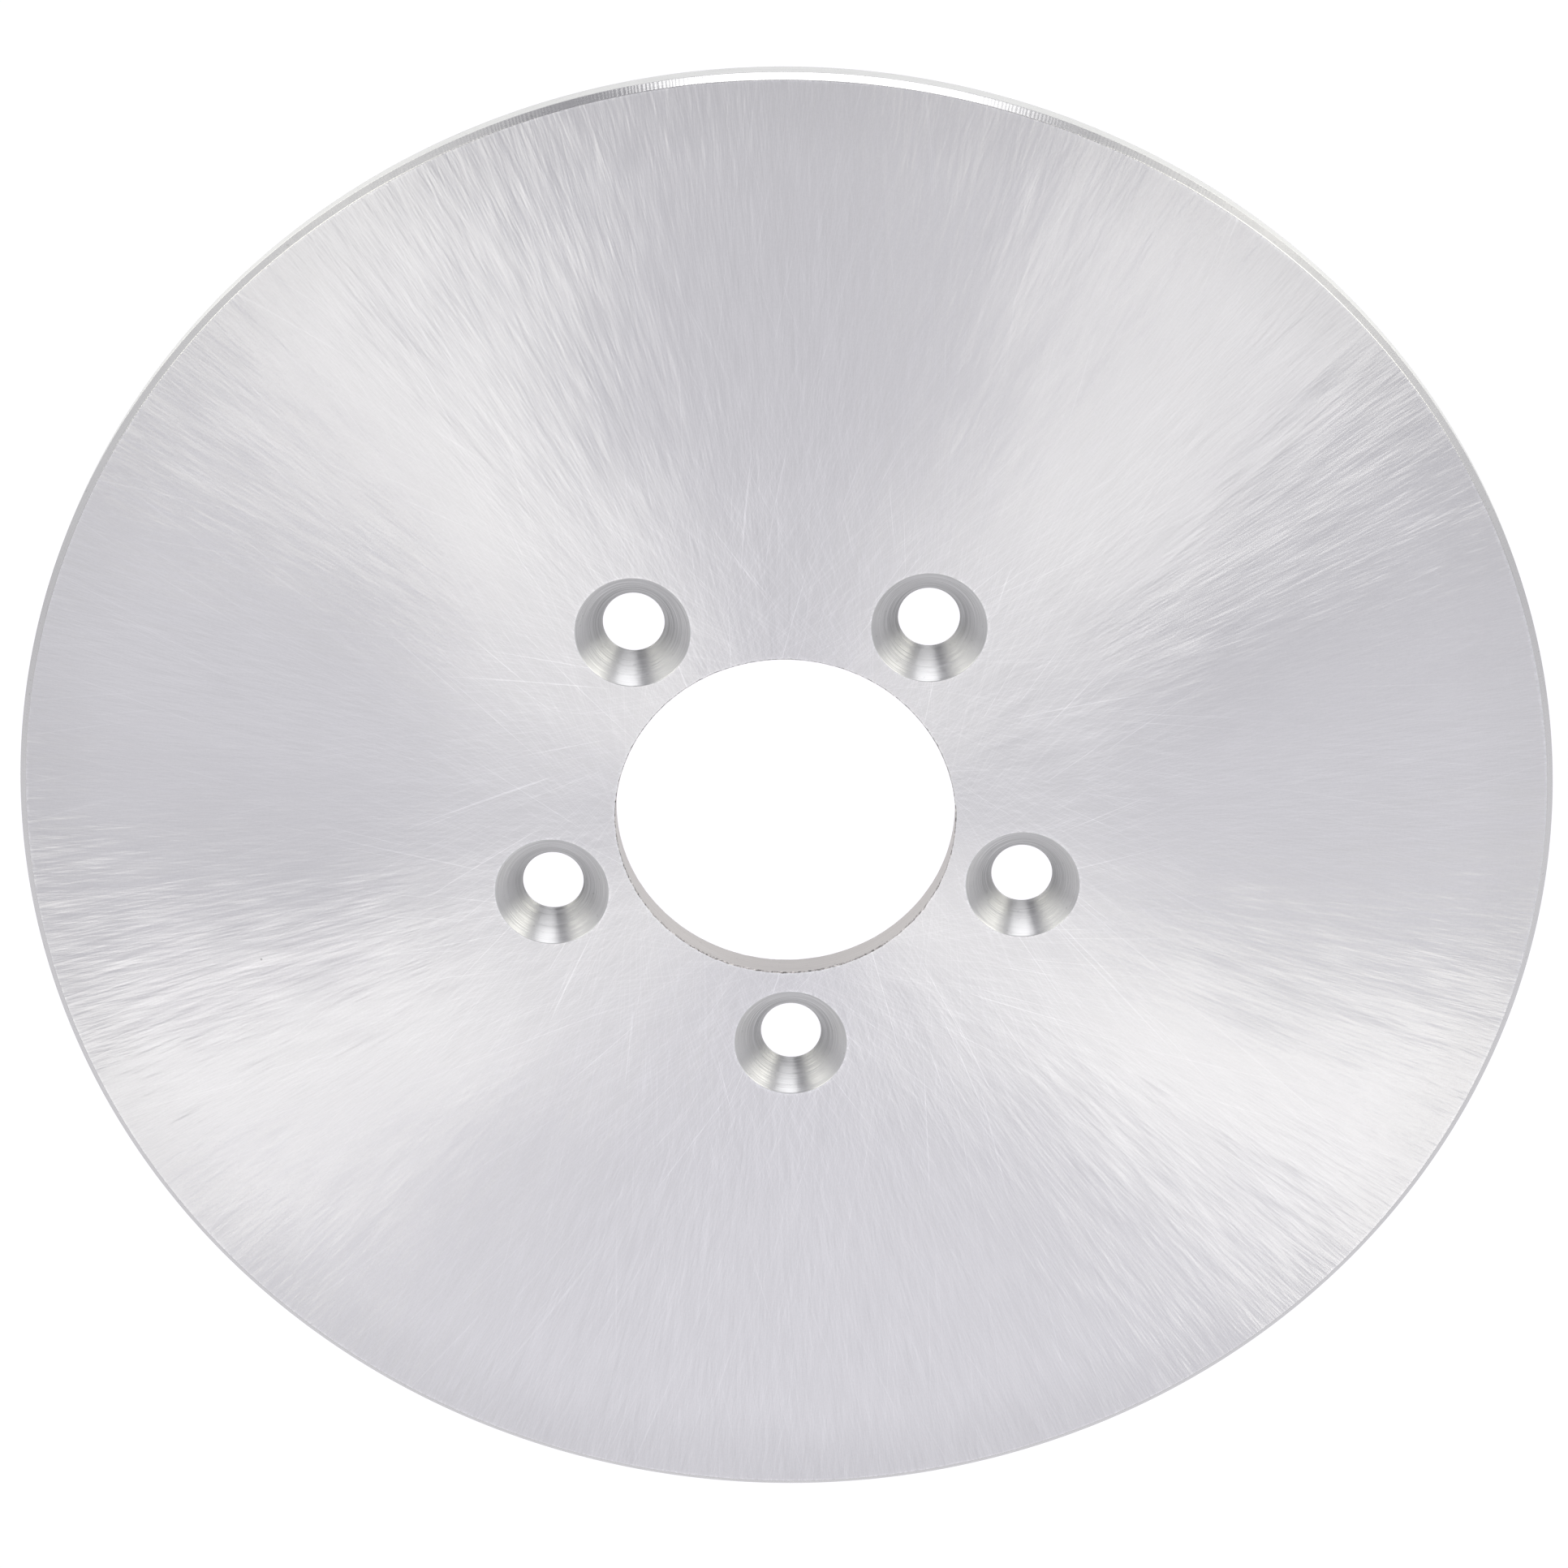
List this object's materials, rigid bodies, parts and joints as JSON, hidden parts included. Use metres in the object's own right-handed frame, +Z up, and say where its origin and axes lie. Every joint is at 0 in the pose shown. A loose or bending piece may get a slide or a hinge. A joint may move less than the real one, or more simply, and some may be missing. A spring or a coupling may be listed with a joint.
{
  "type": "brake disc",
  "caption": "Flat one-piece brake disc of ground steel, with a plain central pilot bore, a ring of countersunk bolt holes and a chamfered rim.",
  "frame": {"origin": "centre of the pilot bore in the plane of the back face, which seats on the wheel hub", "axes": "+Y along the disc's axis, out of the back face towards the hub; +Z up, with one bolt hole straight below the centre; +X to the right seen from the countersunk front"},
  "size_m": [0.254, 0.0053, 0.254],
  "materials": {
    "ground_steel": "ground with fine near-radial scratches on both faces, turned on the rim, bore and countersinks"
  },
  "bodies": {
    "root": {"brake_disc": "ground_steel"}
  },
  "joints": []
}
